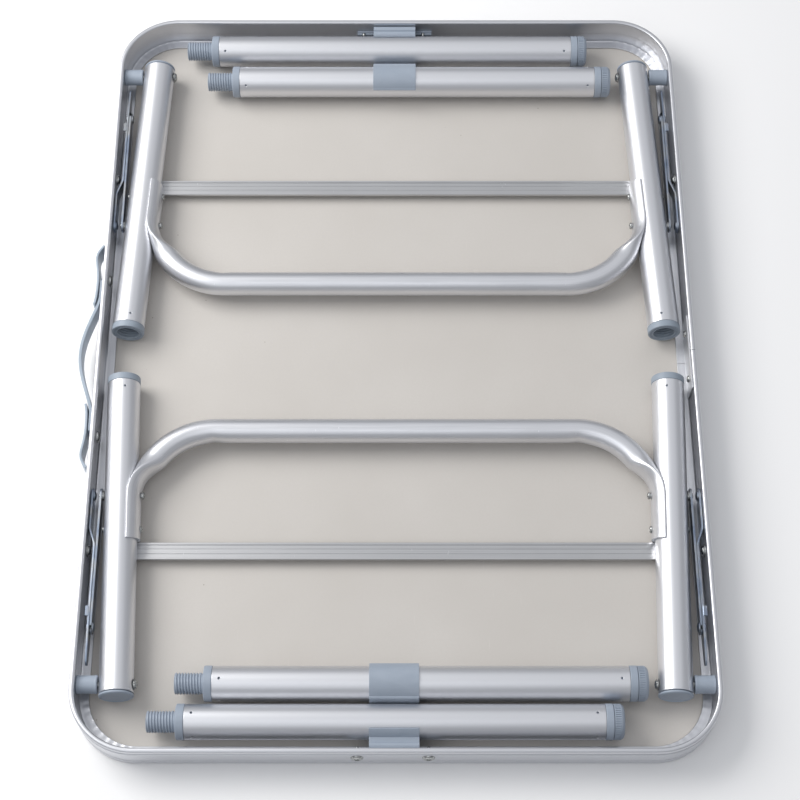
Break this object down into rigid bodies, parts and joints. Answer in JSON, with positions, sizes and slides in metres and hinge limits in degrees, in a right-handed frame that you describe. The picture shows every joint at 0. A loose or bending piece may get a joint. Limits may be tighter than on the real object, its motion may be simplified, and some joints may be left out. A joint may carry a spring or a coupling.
{
  "type": "folding table",
  "caption": "Low folding camping table with two hinged leg frames, folding stays, screw-in extension legs in clips and a carrying handle.",
  "frame": {"origin": "centre of the tabletop's use face, which lies on the floor plane when the table is folded and face down", "axes": "+X to the right across the table's short side, +Y along its long side, +Z out of the underside; the handle is on the -X side"},
  "size_m": [0.5673, 0.75, 0.039],
  "materials": {
    "anodised_aluminium": "satin anodised drawn tube",
    "extruded_aluminium": "satin extrusion with fine die lines",
    "zinc_plated_steel": "bluish bright zinc plate",
    "steel": "polished steel screw and rivet heads",
    "grey_plastic": "semi-matt moulded, grey-blue",
    "laminate": "smooth matt greige laminate on fibreboard"
  },
  "bodies": {
    "tabletop": {"panel": "laminate", "edge_frame": "extruded_aluminium", "splice_plate": "extruded_aluminium", "extension_clip_far": "grey_plastic", "extension_clip_near": "grey_plastic", "handle_strap": "grey_plastic", "handle_end_far": "grey_plastic", "handle_end_near": "grey_plastic", "hinge_spacer_far_left": "grey_plastic", "hinge_spacer_far_right": "grey_plastic", "hinge_spacer_near_left": "grey_plastic", "hinge_spacer_near_right": "grey_plastic", "hinge_bolt_far_left": "steel", "hinge_bolt_far_right": "steel", "hinge_bolt_near_left": "steel", "hinge_bolt_near_right": "steel"},
    "legs_far": {"brace_far": "anodised_aluminium", "crossbar_far": "extruded_aluminium", "leg_tube_far_left": "anodised_aluminium", "leg_plug_far_left": "grey_plastic", "leg_socket_far_left": "grey_plastic", "brace_bolt_far_left": "steel", "leg_tube_far_right": "anodised_aluminium", "leg_plug_far_right": "grey_plastic", "leg_socket_far_right": "grey_plastic", "brace_bolt_far_right": "steel"},
    "legs_near": {"brace_near": "anodised_aluminium", "crossbar_near": "extruded_aluminium", "leg_tube_near_left": "anodised_aluminium", "leg_plug_near_left": "grey_plastic", "leg_socket_near_left": "grey_plastic", "brace_bolt_near_left": "steel", "leg_tube_near_right": "anodised_aluminium", "leg_plug_near_right": "grey_plastic", "leg_socket_near_right": "grey_plastic", "brace_bolt_near_right": "steel"},
    "rail_stay_far_left": {"rail_link_far_left": "zinc_plated_steel"},
    "leg_stay_far_left": {"leg_link_far_left": "zinc_plated_steel"},
    "rail_stay_far_right": {"rail_link_far_right": "zinc_plated_steel"},
    "leg_stay_far_right": {"leg_link_far_right": "zinc_plated_steel"},
    "rail_stay_near_left": {"rail_link_near_left": "zinc_plated_steel"},
    "leg_stay_near_left": {"leg_link_near_left": "zinc_plated_steel"},
    "rail_stay_near_right": {"rail_link_near_right": "zinc_plated_steel"},
    "leg_stay_near_right": {"leg_link_near_right": "zinc_plated_steel"},
    "extension_far_outer": {"extension_tube_far_outer": "anodised_aluminium", "threaded_plug_far_outer": "grey_plastic", "foot_ring_far_outer": "grey_plastic"},
    "adjuster_far_outer": {"foot_far_outer": "grey_plastic"},
    "extension_far_inner": {"extension_tube_far_inner": "anodised_aluminium", "threaded_plug_far_inner": "grey_plastic", "foot_ring_far_inner": "grey_plastic"},
    "adjuster_far_inner": {"foot_far_inner": "grey_plastic"},
    "extension_near_outer": {"extension_tube_near_outer": "anodised_aluminium", "threaded_plug_near_outer": "grey_plastic", "foot_ring_near_outer": "grey_plastic"},
    "adjuster_near_outer": {"foot_near_outer": "grey_plastic"},
    "extension_near_inner": {"extension_tube_near_inner": "anodised_aluminium", "threaded_plug_near_inner": "grey_plastic", "foot_ring_near_inner": "grey_plastic"},
    "adjuster_near_inner": {"foot_near_inner": "grey_plastic"}
  },
  "joints": [
    {"name": "fold_far_legs", "type": "hinge", "parent": "tabletop", "child": "legs_far", "pos_m": [0, 0.313, 0.0224], "axis": [-1, 0, 0], "range_deg": [0, 90]},
    {"name": "fold_near_legs", "type": "hinge", "parent": "tabletop", "child": "legs_near", "pos_m": [0, -0.313, 0.0224], "axis": [1, 0, 0], "range_deg": [0, 90]},
    {"name": "rail_stay_turn_far_left", "type": "hinge", "parent": "tabletop", "child": "rail_stay_far_left", "pos_m": [-0.2689, 0.14, 0.0224], "axis": [1, 0, 0], "range_deg": [0, 45]},
    {"name": "leg_stay_turn_far_left", "type": "hinge", "parent": "legs_far", "child": "leg_stay_far_left", "pos_m": [-0.2615, 0.14, 0.0224], "axis": [-1, 0, 0], "range_deg": [0, 45]},
    {"name": "rail_stay_turn_far_right", "type": "hinge", "parent": "tabletop", "child": "rail_stay_far_right", "pos_m": [0.2689, 0.14, 0.0224], "axis": [1, 0, 0], "range_deg": [0, 45]},
    {"name": "leg_stay_turn_far_right", "type": "hinge", "parent": "legs_far", "child": "leg_stay_far_right", "pos_m": [0.2615, 0.14, 0.0224], "axis": [-1, 0, 0], "range_deg": [0, 45]},
    {"name": "rail_stay_turn_near_left", "type": "hinge", "parent": "tabletop", "child": "rail_stay_near_left", "pos_m": [-0.2689, -0.14, 0.0224], "axis": [-1, 0, 0], "range_deg": [0, 45]},
    {"name": "leg_stay_turn_near_left", "type": "hinge", "parent": "legs_near", "child": "leg_stay_near_left", "pos_m": [-0.2615, -0.14, 0.0224], "axis": [1, 0, 0], "range_deg": [0, 45]},
    {"name": "rail_stay_turn_near_right", "type": "hinge", "parent": "tabletop", "child": "rail_stay_near_right", "pos_m": [0.2689, -0.14, 0.0224], "axis": [-1, 0, 0], "range_deg": [0, 45]},
    {"name": "leg_stay_turn_near_right", "type": "hinge", "parent": "legs_near", "child": "leg_stay_near_right", "pos_m": [0.2615, -0.14, 0.0224], "axis": [1, 0, 0], "range_deg": [0, 45]},
    {"name": "lift_out_far_outer", "type": "slide", "parent": "tabletop", "child": "extension_far_outer", "axis": [0, 0, 1], "range_m": [0, 0.08], "deforming": ["extension_clip_far"]},
    {"name": "foot_screw_far_outer", "type": "slide", "parent": "extension_far_outer", "child": "adjuster_far_outer", "axis": [1, 0, 0], "range_m": [0, 0.006]},
    {"name": "lift_out_far_inner", "type": "slide", "parent": "tabletop", "child": "extension_far_inner", "axis": [0, 0, 1], "range_m": [0, 0.08], "deforming": ["extension_clip_far"]},
    {"name": "foot_screw_far_inner", "type": "slide", "parent": "extension_far_inner", "child": "adjuster_far_inner", "axis": [1, 0, 0], "range_m": [0, 0.006]},
    {"name": "lift_out_near_outer", "type": "slide", "parent": "tabletop", "child": "extension_near_outer", "axis": [0, 0, 1], "range_m": [0, 0.08], "deforming": ["extension_clip_near"]},
    {"name": "foot_screw_near_outer", "type": "slide", "parent": "extension_near_outer", "child": "adjuster_near_outer", "axis": [1, 0, 0], "range_m": [0, 0.006]},
    {"name": "lift_out_near_inner", "type": "slide", "parent": "tabletop", "child": "extension_near_inner", "axis": [0, 0, 1], "range_m": [0, 0.08], "deforming": ["extension_clip_near"]},
    {"name": "foot_screw_near_inner", "type": "slide", "parent": "extension_near_inner", "child": "adjuster_near_inner", "axis": [1, 0, 0], "range_m": [0, 0.006]}
  ],
  "couplings": [
    {"joint": "rail_stay_turn_far_left", "follows": "fold_far_legs", "ratio": 0.5},
    {"joint": "leg_stay_turn_far_left", "follows": "fold_far_legs", "ratio": 0.5},
    {"joint": "rail_stay_turn_far_right", "follows": "fold_far_legs", "ratio": 0.5},
    {"joint": "leg_stay_turn_far_right", "follows": "fold_far_legs", "ratio": 0.5},
    {"joint": "rail_stay_turn_near_left", "follows": "fold_near_legs", "ratio": 0.5},
    {"joint": "leg_stay_turn_near_left", "follows": "fold_near_legs", "ratio": 0.5},
    {"joint": "rail_stay_turn_near_right", "follows": "fold_near_legs", "ratio": 0.5},
    {"joint": "leg_stay_turn_near_right", "follows": "fold_near_legs", "ratio": 0.5}
  ]
}
